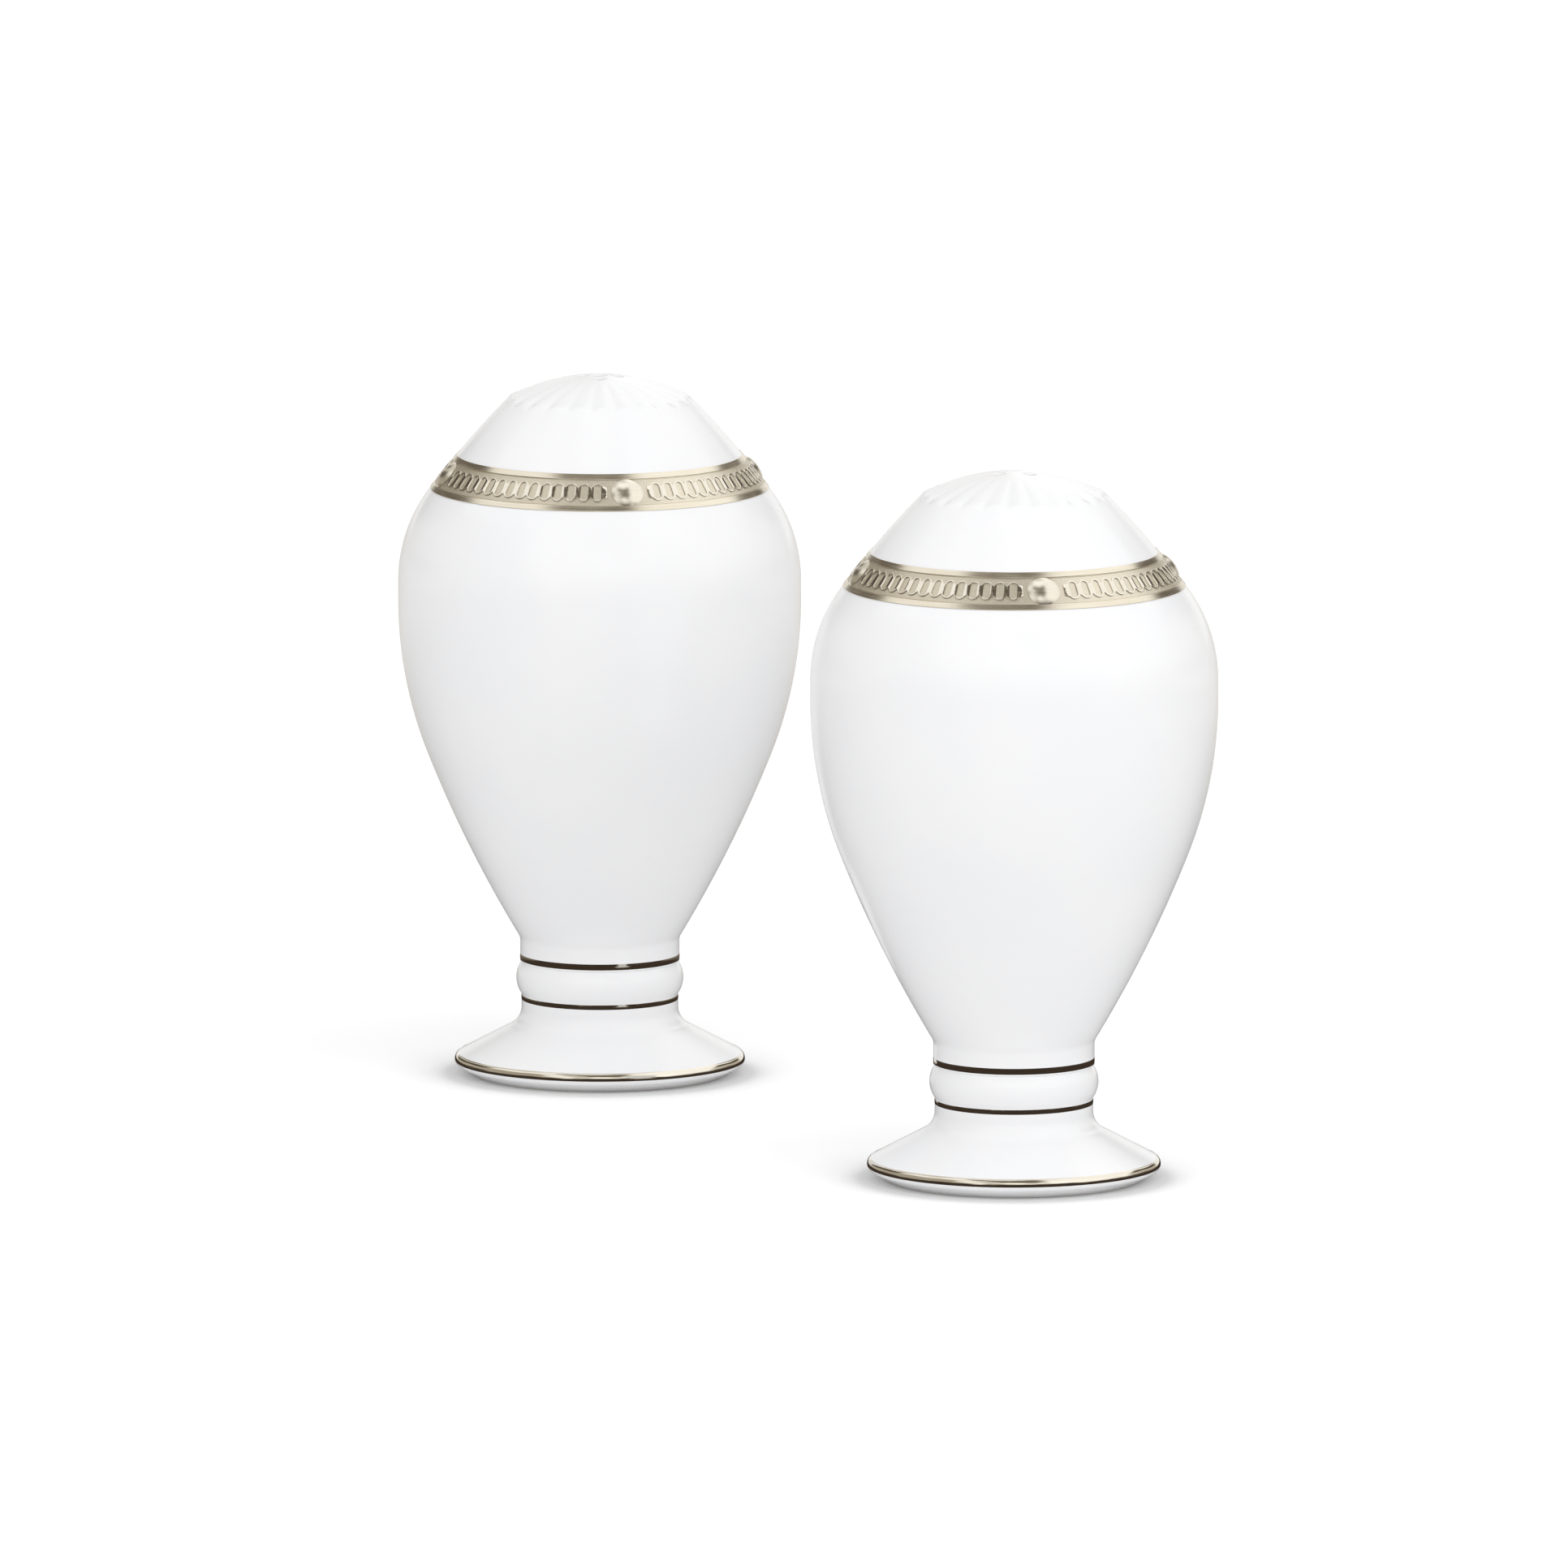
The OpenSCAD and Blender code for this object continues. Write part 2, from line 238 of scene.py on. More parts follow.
slope_run = (edge_top_r - slope_p.x) / downhill(FOOT_FACE).x
edge_c = slope_p + slope_run * downhill(FOOT_FACE) - EDGE_ROUND * facing(FOOT_FACE)
edge_low = edge_c + EDGE_ROUND * facing(EDGE_UNDER)
ring_out_r = edge_low.x - edge_low.y * math.tan(math.radians(-EDGE_UNDER))
crown_c = Vector((0, HEIGHT - CROWN_ROUND))
crown_face = math.degrees(math.acos(CROWN_EDGE_R / CROWN_ROUND))
crown_p = crown_c + CROWN_ROUND * facing(crown_face)
side_v = band_top - crown_p
side_mid = math.degrees(math.atan2(side_v.x, -side_v.y))
side_half = math.degrees(math.asin(side_v.length / 2 / DOME_ROUND))
side_c = band_top - DOME_ROUND * facing(side_mid - side_half)
inner_sweep = 90 - math.degrees(math.acos((WAIST_Z - FLOOR_Z) / (SWEEP_ROUND + WALL)))


def on_band(along, over):
    """Point on the band: along its width from the top edge, and over the china."""
    return band_top + along * downhill(BAND_LEAN) + over * facing(BAND_LEAN)


def foot_line_section(rise):
    """Points on the foot's edge line, standing over the china by a height."""
    return rounded(edge_c, EDGE_ROUND, *EDGE_LINE_FACE, -rise, LINE_RING)


def seat(top, bottom):
    """Points of a seat sunk into an upright stretch of the neck for a fine line."""
    sunk = Vector((LINE_SEAT, 0))
    return [top, top - sunk, bottom - sunk, bottom]


def body_section():
    """Half section of the china, from the crown down the outside and up the inside."""
    half_top = Vector((0, LINE_TOP_W / 2))
    half_low = Vector((0, LINE_LOW_W / 2))
    neck_line = Vector((NECK_R, LINE_TOP_Z))
    waist_line = Vector((WAIST_R, LINE_LOW_Z))
    ring_out = Vector((ring_out_r, 0))
    ring_in = Vector((RING_IN_R, 0))
    recess_top = Vector((RING_IN_R - RECESS_DRAFT, RECESS_H))
    fill_low = Vector((FILL_D / 2, RECESS_H))
    fill_top = Vector((FILL_D / 2, FLOOR_Z))
    floor_end = sweep_c - (SWEEP_ROUND + WALL) * facing(inner_sweep)
    points = rounded(crown_c, CROWN_ROUND, 90, crown_face, 0, RIB_RING)
    side = rounded(side_c, DOME_ROUND, side_mid + side_half, side_mid - side_half, 0, RIB_RING / 2)
    fine_to = crown_p.x + VALLEY_RUN_OUT
    for number, point in enumerate(side[1:], 1):
        if point.x < fine_to or number % SIDE_RINGS == 0 or number == len(side) - 1:
            points.append(point)
    points += [on_band(0, -BAND_SEAT), on_band(BAND_W, -BAND_SEAT)]
    points += rounded(shoulder_c, SHOULDER_ROUND, BAND_LEAN, 0)
    points += rounded(bowl_c, BOWL_ROUND, 0, -BOWL_TURN)
    points += rounded(cone_c, CONE_ROUND, -BOWL_TURN, -BOWL_END)[1:]
    points += rounded(neck_c, -neck_round, -BOWL_END, 0, 0, FINE_RING)[1:]
    points += seat(neck_line + half_top, neck_line - half_top)
    points.append(neck_line - half_top - Vector((0, LINE_SEAT)))
    points += rounded(bead_c, BEAD_ROUND, bead_face, -bead_face, 0, SMALL_RING)
    points += seat(waist_line + half_low, waist_line - half_low)
    points += rounded(sweep_c, -SWEEP_ROUND, 0, FOOT_FACE, 0, SMALL_RING)
    points += straight(slope_p, edge_c + EDGE_ROUND * facing(FOOT_FACE))
    points += rounded(edge_c, EDGE_ROUND, FOOT_FACE, EDGE_LINE_FACE[0], 0, FINE_RING)
    points += foot_line_section(-LINE_SEAT)
    points += rounded(edge_c, EDGE_ROUND, EDGE_LINE_FACE[1], EDGE_UNDER, 0, FINE_RING)
    points += eased(edge_low, ring_out, ring_in, FOOT_EASE)
    points += eased(ring_out, ring_in, recess_top, FOOT_EASE)
    points += eased(ring_in, recess_top, fill_low, FOOT_EASE)
    points += eased(recess_top, fill_low, fill_top, FILL_EASE)
    points += eased(fill_low, fill_top, floor_end, FILL_EASE)
    points += rounded(sweep_c, -SWEEP_ROUND, inner_sweep, 0, WALL, INSIDE_RING)
    points += rounded(cone_c, CONE_ROUND, -BOWL_END, -BOWL_TURN, WALL, INSIDE_RING)
    points += rounded(bowl_c, BOWL_ROUND, -BOWL_TURN, 0, WALL, INSIDE_RING)
    points += rounded(shoulder_c, SHOULDER_ROUND, 0, BAND_LEAN, WALL, INSIDE_BEND_RING)
    points += rounded(side_c, DOME_ROUND, side_mid - side_half, side_mid + side_half, WALL, INSIDE_RING)
    points += rounded(crown_c, CROWN_ROUND, crown_face, 90, WALL, INSIDE_BEND_RING)
    return points


# Modelling steps

def deselect():
    """Leaves edit mode with nothing selected."""
    if bpy.context.object and bpy.context.object.mode != "OBJECT":
        bpy.ops.object.mode_set(mode="OBJECT")
    bpy.ops.object.select_all(action="DESELECT")


def pick(piece):
    """Makes one piece the only selected and active one."""
    deselect()
    piece.select_set(True)
    bpy.context.view_layer.objects.active = piece


def clean(piece):
    """Merges doubled points, turns the faces outwards and shades the round faces smooth."""
    pick(piece)
    bpy.ops.object.mode_set(mode="EDIT")
    bpy.ops.mesh.select_all(action="SELECT")
    bpy.ops.mesh.remove_doubles(threshold=MERGE)
    bpy.ops.mesh.normals_make_consistent(inside=False)
    bpy.ops.object.mode_set(mode="OBJECT")
    bpy.ops.object.shade_smooth_by_angle(angle=math.radians(SMOOTH_ANGLE))
    return piece


def modified(piece, kind, **settings):
    """Adds a modifier with its settings and applies it."""
    pick(piece)
    modifier = piece.modifiers.new(kind.title(), kind)
    for key, value in settings.items():
        setattr(modifier, key, value)
    bpy.ops.object.modifier_apply(modifier=modifier.name)
    return piece


def spun(name, section, steps=TURN_STEPS, closed=False):
    """Draws a half section by extruding one point along it, and spins it round the axis."""
    deselect()
    bpy.ops.mesh.primitive_plane_add(size=MM)
    piece = bpy.context.object
    piece.name = name
    bpy.ops.object.mode_set(mode="EDIT")
    bpy.ops.mesh.select_all(action="SELECT")
    bpy.ops.mesh.merge(type="CENTER")
    ring = section + section[:1] if closed else section
    here = Vector((0, 0))
    for number, point in enumerate(ring):
        move = ((point.x - here.x) * MM, 0, (point.y - here.y) * MM)
        if number == 0:
            bpy.ops.transform.translate(value=move)
        else:
            bpy.ops.mesh.extrude_region_move(TRANSFORM_OT_translate={"value": move})
        here = point
    bpy.ops.object.mode_set(mode="OBJECT")
    modified(piece, "SCREW", angle=2 * math.pi, steps=steps, render_steps=steps, axis="Z",
             use_merge_vertices=True, merge_threshold=MERGE)
    return clean(piece)


def copy_of(piece, name):
    """Copy of a piece with its own mesh."""
    twin = piece.copy()
    twin.data = piece.data.copy()
    twin.name = name
    bpy.context.scene.collection.objects.link(twin)
    return twin


def joined(pieces, name):
    """Several pieces made one."""
    deselect()
    for piece in pieces:
        piece.select_set(True)
    bpy.context.view_layer.objects.active = pieces[0]
    bpy.ops.object.join()
    whole = bpy.context.object
    whole.name = name
    return whole


def settled(model, shaker, node, material):
    """Copy of a model turned and moved to its shaker, with its finish, riding on its body."""
    body = node if node.endswith("stopper") else shaker
    piece = copy_of(model, node + "_china" if node.endswith("body") else node + "_finish")
    piece.data.transform(Matrix.Translation(PLACES[shaker]) @ Matrix.Rotation(FRONT_BOSS, 4, "Z"))
    piece.data.materials.clear()
    piece.data.materials.append(material)
    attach(piece, body)
    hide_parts(node)
    return piece


# China body

def rib_relief(r, turn):
    """Height of the ribbed crown over the plain one: valleys sink, and the ribs' noses swell a little."""
    pitch = 2 * math.pi / RIB_COUNT
    across = abs((turn + pitch / 2) % pitch - pitch / 2) / (pitch / 2)
    valley = (1 - math.hypot(across, VALLEY_SOFT)) ** 2
    deep = (r * r - VALLEY_FADE_R ** 2) / (CROWN_EDGE_R ** 2 - VALLEY_FADE_R ** 2)
    run_out = min(max((r - CROWN_EDGE_R) / VALLEY_RUN_OUT, 0), 1)
    depth = VALLEY_DEPTH * min(max(deep, 0), 1) * (1 - run_out * run_out * (3 - 2 * run_out))
    nose = math.exp(-((r - CROWN_EDGE_R + NOSE_LEN / 2) / NOSE_LEN) ** 2)
    return NOSE_RISE * nose * (1 - valley) - depth * valley


def dome_height(r):
    """Height of the plain dome at a distance from the axis."""
    if r < crown_p.x:
        return crown_c.y + math.sqrt(CROWN_ROUND ** 2 - r * r)
    return side_c.y + math.sqrt(DOME_ROUND ** 2 - (r - side_c.x) ** 2)


def shape_ribs(body):
    """Sinks the valleys into the crown's outside and swells the ribs, by a weighted displacement."""
    least = -VALLEY_DEPTH
    span = VALLEY_DEPTH + NOSE_RISE
    ribs = body.vertex_groups.new(name="ribs")
    for vertex in body.data.vertices:
        x, y, z = vertex.co / MM
        r = math.hypot(x, y)
        on_crown = r < CROWN_EDGE_R + 2 * NOSE_LEN and z > crown_p.y - 2 * NOSE_LEN
        if on_crown and z > dome_height(r) - WALL / 2:
            ribs.add([vertex.index], (rib_relief(r, math.atan2(y, x)) - least) / span, "REPLACE")
        else:
            ribs.add([vertex.index], -least / span, "REPLACE")
    modified(body, "DISPLACE", direction="Z", vertex_group="ribs", mid_level=0, strength=span * MM)
    body.data.transform(Matrix.Translation((0, 0, least * MM)))
    body.vertex_groups.clear()


def pour_drill(turns, with_middle):
    """Cutters for the pour holes, flared at the top so that the holes get a rounded lip."""
    hole_r = POUR_D / 2
    spots = [POUR_RING_R * facing(turn) for turn in turns]
    if with_middle:
        spots.append(Vector((0, 0)))
    lip_faces = range(0, -75, -12)
    drills = []
    for number, spot in enumerate(spots):
        surface = dome_height(spot.length)
        lip = [Vector((hole_r + POUR_LIP, surface - POUR_LIP)) - POUR_LIP * facing(angle)
               for angle in lip_faces]
        section = [Vector((0, surface - 3 * WALL)), Vector((hole_r, surface - 3 * WALL))] + lip
        section += [Vector((lip[-1].x + POUR_LIP, surface + WALL)), Vector((0, surface + WALL))]
        drill = spun(f"drill_{number}", section, DRILL_STEPS)
        drill.data.transform(Matrix.Translation((spot.x * MM, spot.y * MM, 0)))
        drills.append(drill)
    return joined(drills, "pour_drill")


def pierced(body, name, ring_count, with_middle):
    """Copy of the body with its pour holes cut through the crown."""
    piece = copy_of(body, name)
    back = 180
    turns = [back - BOSS_TURN + 360 * i / ring_count for i in range(ring_count)]
    drill = pour_drill(turns, with_middle)
    modified(piece, "BOOLEAN", operation="DIFFERENCE", solver="EXACT", object=drill)
    bpy.data.objects.remove(drill)
    pick(piece)
    bpy.ops.object.shade_smooth_by_angle(angle=math.radians(SMOOTH_ANGLE))
    return piece


# Platinum trim

def model_band():
    """Ring of the band: two rails with eased edges, fine grooves and the sunk panel."""
    panel_from, panel_to = RAIL_W, BAND_W - RAIL_W
    corners = [(0, -BAND_SEAT), (0, RAIL_RISE), (panel_from - GROOVE_W, RAIL_RISE),
               (panel_from - GROOVE_W, -GROOVE_DEPTH), (panel_from, -GROOVE_DEPTH), (panel_from, PANEL_RISE),
               (panel_to, PANEL_RISE), (panel_to, -GROOVE_DEPTH), (panel_to + GROOVE_W, -GROOVE_DEPTH),
               (panel_to + GROOVE_W, RAIL_RISE), (BAND_W, RAIL_RISE), (BAND_W, -BAND_SEAT)]
    ring = spun("band", [on_band(*corner) for corner in corners], closed=True)
    modified(ring, "BEVEL", width=RAIL_EDGE * MM, segments=2, limit_method="ANGLE")
    return clean(ring)


def stretch_ends(link, reach):
    """Pulls the two halves of a flat round outline apart."""
    for side in (-1, 1):
        pick(link)
        bpy.ops.object.mode_set(mode="EDIT")
        bpy.ops.mesh.select_all(action="DESELECT")
        bpy.ops.object.mode_set(mode="OBJECT")
        for vertex in link.data.vertices:
            vertex.select = vertex.co.y * side > MERGE
        bpy.ops.object.mode_set(mode="EDIT")
        bpy.ops.transform.translate(value=(0, side * reach * MM, 0))
        bpy.ops.object.mode_set(mode="OBJECT")


def model_link(name, left, right):
    """One flat link: a round-ended window, a bar round it, and a web or tab on each side."""
    deselect()
    bpy.ops.mesh.primitive_circle_add(vertices=LINK_STEPS, radius=WINDOW_W / 2 * MM)
    link = bpy.context.object
    link.name = name
    window_reach = (WINDOW_H - WINDOW_W) / 2
    link_reach = (LINK_H - LINK_W) / 2
    stretch_ends(link, window_reach)
    bpy.ops.object.mode_set(mode="EDIT")
    bpy.ops.mesh.select_all(action="SELECT")
    bpy.ops.mesh.extrude_region_move()
    bpy.ops.object.mode_set(mode="OBJECT")
    outer = [v.index for v in link.data.vertices if v.select]
    for index in outer:
        vertex = link.data.vertices[index]
        x, y = vertex.co.x / MM, vertex.co.y / MM
        side = 0 if abs(y) < window_reach / 2 else math.copysign(1, y)
        wide = LINK_W / WINDOW_W
        x, y = x * wide, side * link_reach + (y - side * window_reach) * wide
        if abs(x) > LINK_W / 2 * math.cos(math.radians(WEB_SPREAD)):
            x = right if x > 0 else -left
        vertex.co = Vector((x, y, 0)) * MM
    return link


def model_chain():
    """Four quarters of the raised chain, wrapped on the band between the bosses."""
    middle_r = on_band(BAND_W / 2, PANEL_RISE).x
    pitch = math.radians(LINK_PITCH) * middle_r
    links = []
    for number in range(LINK_COUNT):
        left = TAB_LEN if number == 0 else pitch / 2
        right = TAB_LEN if number == LINK_COUNT - 1 else pitch / 2
        link = model_link(f"link_{number}", left, right)
        link.data.transform(Matrix.Translation(((number - (LINK_COUNT - 1) / 2) * pitch * MM, 0, 0)))
        links.append(link)
    chain = clean(joined(links, "chain"))
    modified(chain, "SOLIDIFY", thickness=(LINK_RISE + LINK_SINK) * MM, offset=1)
    modified(chain, "BEVEL", width=LINK_EDGE * MM, segments=2, limit_method="ANGLE")
    quarters = []
    for number in range(BOSS_COUNT):
        quarter = copy_of(chain, f"chain_{number}")
        quarter_turn = (number + 0.5) * 2 * math.pi / BOSS_COUNT
        for vertex in quarter.data.vertices:
            x, y, z = vertex.co / MM
            spot = on_band(BAND_W / 2 - y, PANEL_RISE - LINK_SINK + z)
            turn = quarter_turn + x / middle_r
            vertex.co = Vector((spot.x * math.cos(turn), spot.x * math.sin(turn), spot.y)) * MM
        quarters.append(quarter)
    bpy.data.objects.remove(chain)
    return clean(joined(quarters, "chain"))


def model_bosses():
    """Four polished domed bosses, seated on the panel at the quarters."""
    boss_r = BOSS_D / 2
    dome_r = (boss_r ** 2 + BOSS_RISE ** 2) / (2 * BOSS_RISE)
    dome_c = Vector((0, BOSS_RISE - dome_r))
    rim_face = math.degrees(math.acos(boss_r / dome_r))
    section = rounded(dome_c, dome_r, 90, rim_face, 0, BOSS_RING)
    section += [Vector((boss_r, -LINK_SINK)), Vector((0, -LINK_SINK))]
    boss = spun("boss", section, BOSS_STEPS)
    spot = on_band(BAND_W / 2, PANEL_RISE)
    lean = Matrix.Rotation(math.radians(90 - BAND_LEAN), 4, "Y")
    seated = Matrix.Translation((spot.x * MM, 0, spot.y * MM)) @ lean
    bosses = []
    for number in range(BOSS_COUNT):
        copy = copy_of(boss, f"boss_{number}")
        copy.data.transform(Matrix.Rotation(number * 2 * math.pi / BOSS_COUNT, 4, "Z") @ seated)
        bosses.append(copy)
    bpy.data.objects.remove(boss)
    return joined(bosses, "bosses")


def model_neck_line(name, radius, height, width):
    """Fine line round the neck, gently crowned."""
    low, high = height - width / 2, height + width / 2
    section = [Vector((radius - LINE_SEAT, high)), Vector((radius, high))]
    for i in range(1, CROWNING_STEPS):
        rise = LINE_RISE * math.sin(math.pi * i / CROWNING_STEPS)
        section.append(Vector((radius + rise, high - width * i / CROWNING_STEPS)))
    section += [Vector((radius, low)), Vector((radius - LINE_SEAT, low))]
    return spun(name, section, closed=True)


def model_foot_line():
    """Line round the foot's rounded edge."""
    section = foot_line_section(LINE_RISE) + foot_line_section(-LINE_SEAT)[::-1]
    return spun("foot_line", section, closed=True)


# Soft stopper

def model_stopper():
    """Flanged hollow plug with two sealing ribs and a finger bar."""
    flange_top = RECESS_H - PLUG_GAP
    flange_z = flange_top - FLANGE_T
    top_z = flange_top + PLUG_H
    seal_r = FILL_D / 2 - PLUG_GAP
    stem_r = seal_r - SEAL_RISE
    end_r = stem_r - PLUG_DRAFT
    bore_r = end_r - PLUG_WALL
    bore_z = top_z - PLUG_WALL
    flange_r = FLANGE_D / 2
    low_seal_z = flange_top + SEAL_W / 2 + 2 * SEAL_RISE

    def seal_rib(z):
        """Points of a sealing rib round a height."""
        return [Vector((stem_r, z - SEAL_W / 2 - SEAL_RISE)), Vector((seal_r, z - SEAL_W / 2)),
                Vector((seal_r, z + SEAL_W / 2)), Vector((stem_r, z + SEAL_W / 2 + SEAL_RISE))]

    section = [Vector((0, bore_z)), Vector((bore_r, bore_z)), Vector((bore_r, flange_z)),
               Vector((flange_r - FLANGE_BEVEL, flange_z)), Vector((flange_r, flange_z + FLANGE_BEVEL)),
               Vector((flange_r, flange_top)), Vector((stem_r, flange_top))]
    section += seal_rib(low_seal_z) + seal_rib(FLOOR_Z)
    section += [Vector((end_r, top_z)), Vector((0, top_z))]
    stopper = spun("stopper", section, STOPPER_STEPS)
    deselect()
    bar_low, bar_top = flange_z + BAR_SETBACK, top_z - PLUG_WALL / 2
    bpy.ops.mesh.primitive_cube_add(size=1, location=(0, 0, (bar_low + bar_top) / 2 * MM))
    bar = bpy.context.object
    bar.scale = Vector((BAR_T, 2 * bore_r + PLUG_WALL, bar_top - bar_low)) * MM
    bpy.ops.object.transform_apply(location=True, rotation=True, scale=True)
    modified(bar, "BEVEL", width=SEAL_RISE * MM, segments=3)
    modified(stopper, "BOOLEAN", operation="UNION", solver="EXACT", object=bar)
    bpy.data.objects.remove(bar)
    modified(stopper, "BEVEL", width=SEAL_RISE / 3 * MM, segments=2, limit_method="ANGLE",
             angle_limit=math.radians(STOPPER_EDGE_ANGLE))
    return clean(stopper)


# Finishes

# Tones are pairs from dark to light, and glosses are pairs of roughness from sharp to soft
GLAZE_IOR = 1.4
GLAZE_TONES = ((0.868, 0.872, 0.884, 1), (0.888, 0.889, 0.896, 1))
GLAZE_GLOSS = (0.18, 0.25)
GLAZE_FROM = (0.1, 0.4)
PASTE_TONES = ((0.70, 0.68, 0.64, 1), (0.80, 0.78, 0.74, 1))
PASTE_GLOSS = (0.6, 0.8)
POLISHED_TONES = ((0.74, 0.69, 0.59, 1), (0.82, 0.785, 0.71, 1))
POLISHED_GLOSS = (0.07, 0.13)
BOSS_GLOSS = (0.22, 0.27)
ETCHED_TONES = ((0.72, 0.66, 0.535, 1), (0.85, 0.80, 0.69, 1))
ETCHED_GLOSS = (0.36, 0.5)
RAIL_GLOSS = (0.17, 0.26)
STOPPER_TONES = ((0.70, 0.70, 0.675, 1), (0.77, 0.77, 0.75, 1))
STOPPER_GLOSS = (0.42, 0.58)
STREAK_LONG = 1
STREAK_CLOSE = 45


class Shader:
    """A material or node group under construction."""

    def __init__(self, tree):
        self.tree = tree

    def node(self, kind, values=None, **settings):
        """Adds a node with its settings and input values."""
        made = self.tree.nodes.new(kind)
        for key, value in settings.items():
            setattr(made, key, value)
        for key, value in (values or {}).items():
            made.inputs[key].default_value = value
        return made

    def link(self, source, target):
        """Leads an output to an input."""
        self.tree.links.new(source, target)


def finish(name):
    """New material with its main shader and the piece's own coordinates."""
    material = bpy.data.materials.new(name)
    material.use_nodes = True
    shader = Shader(material.node_tree)
    main = material.node_tree.nodes["Principled BSDF"]
    place = shader.node("ShaderNodeTexCoord").outputs["Object"]
    return material, shader, main, place


def effect(name, inputs, outputs):
    """New node group with named value inputs, a Vector input and named value outputs."""
    group = bpy.data.node_groups.new(name, "ShaderNodeTree")
    group.interface.new_socket("Vector", in_out="INPUT", socket_type="NodeSocketVector")
    for socket, value in inputs.items():
        made = group.interface.new_socket(socket, in_out="INPUT", socket_type="NodeSocketFloat")
        made.default_value = value
    for socket in outputs:
        group.interface.new_socket(socket, in_out="OUTPUT", socket_type="NodeSocketFloat")
    shader = Shader(group)
    return group, shader, shader.node("NodeGroupInput"), shader.node("NodeGroupOutput")


def drawn_streaks():
    """Fine level streaks left by a turned brush, with broader clouds among them."""
    group, shader, into, out = effect("drawn_streaks", {"Fineness": 60, "Clouding": 0.4}, ["Streak"])
    level = shader.node("ShaderNodeMapping", {"Scale": (STREAK_LONG, STREAK_LONG, STREAK_CLOSE)})
    shader.link(into.outputs["Vector"], level.inputs["Vector"])
    lines = shader.node("ShaderNodeTexNoise", {"Detail": 3, "Roughness": 0.6})
    shader.link(level.outputs["Vector"], lines.inputs["Vector"])
    shader.link(into.outputs["Fineness"], lines.inputs["Scale"])
    clouds = shader.node("ShaderNodeTexNoise", {"Scale": 240, "Detail": 2})
    shader.link(into.outputs["Vector"], clouds.inputs["Vector"])
    both = shader.node("ShaderNodeMix", data_type="FLOAT")
    shader.link(into.outputs["Clouding"], both.inputs["Factor"])
    shader.link(lines.outputs["Fac"], both.inputs["A"])
    shader.link(clouds.outputs["Fac"], both.inputs["B"])
    shader.link(both.outputs["Result"], out.inputs["Streak"])
    return group


def soft_grain():
    """Even grain of one size, as on an etched ground, a moulded skin or a settled glaze."""
    group, shader, into, out = effect("soft_grain", {"Size": 1000, "Spread": 0.5}, ["Grain"])
    grain = shader.node("ShaderNodeTexNoise", {"Detail": 2})
    shader.link(into.outputs["Vector"], grain.inputs["Vector"])
    shader.link(into.outputs["Size"], grain.inputs["Scale"])
    shader.link(into.outputs["Spread"], grain.inputs["Roughness"])
    shader.link(grain.outputs["Fac"], out.inputs["Grain"])
    return group


STREAKS = drawn_streaks()
GRAIN = soft_grain()


def placed(shader, group, place, values):
    """A node group in a material, with its own values."""
    node = shader.node("ShaderNodeGroup", node_tree=group)
    for key, value in values.items():
        node.inputs[key].default_value = value
    shader.link(place, node.inputs["Vector"])
    return node.outputs[0]


def toned(shader, mask, dark, light):
    """Colour between two tones by a mask."""
    tone = shader.node("ShaderNodeMix", {"A": dark, "B": light}, data_type="RGBA")
    shader.link(mask, tone.inputs["Factor"])
    return tone.outputs["Result"]


def ranged(shader, mask, low, high, start=0.3, end=0.7):
    """Value between two ends as a mask goes from start to end."""
    ends = {"From Min": start, "From Max": end, "To Min": low, "To Max": high}
    value = shader.node("ShaderNodeMapRange", ends)
    shader.link(mask, value.inputs["Value"])
    return value.outputs["Result"]


def mixed(shader, mask, a, b):
    """Value between two others by a mask."""
    value = shader.node("ShaderNodeMix", data_type="FLOAT")
    shader.link(mask, value.inputs["Factor"])
    shader.link(a, value.inputs["A"])
    shader.link(b, value.inputs["B"])
    return value.outputs["Result"]


def calculated(shader, operation, *values):
    """Result of a maths node; a value is a number or another node's output."""
    node = shader.node("ShaderNodeMath", operation=operation)
    for number, value in enumerate(values):
        if isinstance(value, (int, float)):
            node.inputs[number].default_value = value
        else:
            shader.link(value, node.inputs[number])
    return node.outputs[0]


def bumped(shader, height, distance, strength=1.0):
    """Normal raised by a height of a real size in millimetres."""
    bump = shader.node("ShaderNodeBump", {"Strength": strength, "Distance": distance * MM})
    shader.link(height, bump.inputs["Height"])
    return bump.outputs["Normal"]


def height_mask(shader, place, low, high):
    """One above a height, none below it, in millimetres over the table."""
    axes = shader.node("ShaderNodeSeparateXYZ")
    shader.link(place, axes.inputs["Vector"])
    return ranged(shader, axes.outputs["Z"], 0, 1, low * MM, high * MM)


def glazed_china():
    """White china under a clear glaze, bare on the ring that it stands on."""
    material, shader, main, place = finish("glazed_china")
    main.inputs["IOR"].default_value = GLAZE_IOR
    glazed = height_mask(shader, place, *GLAZE_FROM)
    cloud = placed(shader, GRAIN, place, {"Size": 60, "Spread": 0.4})
    white = toned(shader, ranged(shader, cloud, 0, 1), *GLAZE_TONES)
    paste = placed(shader, GRAIN, place, {"Size": 5000, "Spread": 0.6})
    bare = toned(shader, ranged(shader, paste, 0, 1), *PASTE_TONES)
    colour = shader.node("ShaderNodeMix", data_type="RGBA")
    shader.link(glazed, colour.inputs["Factor"])
    shader.link(bare, colour.inputs["A"])
    shader.link(white, colour.inputs["B"])
    shader.link(colour.outputs["Result"], main.inputs["Base Color"])
    flow = placed(shader, GRAIN, place, {"Size": 130, "Spread": 0.3})
    gloss = mixed(shader, glazed, ranged(shader, paste, *PASTE_GLOSS), ranged(shader, flow, *GLAZE_GLOSS))
    shader.link(gloss, main.inputs["Roughness"])
    skin = mixed(shader, glazed, paste, flow)
    shader.link(bumped(shader, skin, 0.02), main.inputs["Normal"])
    return material


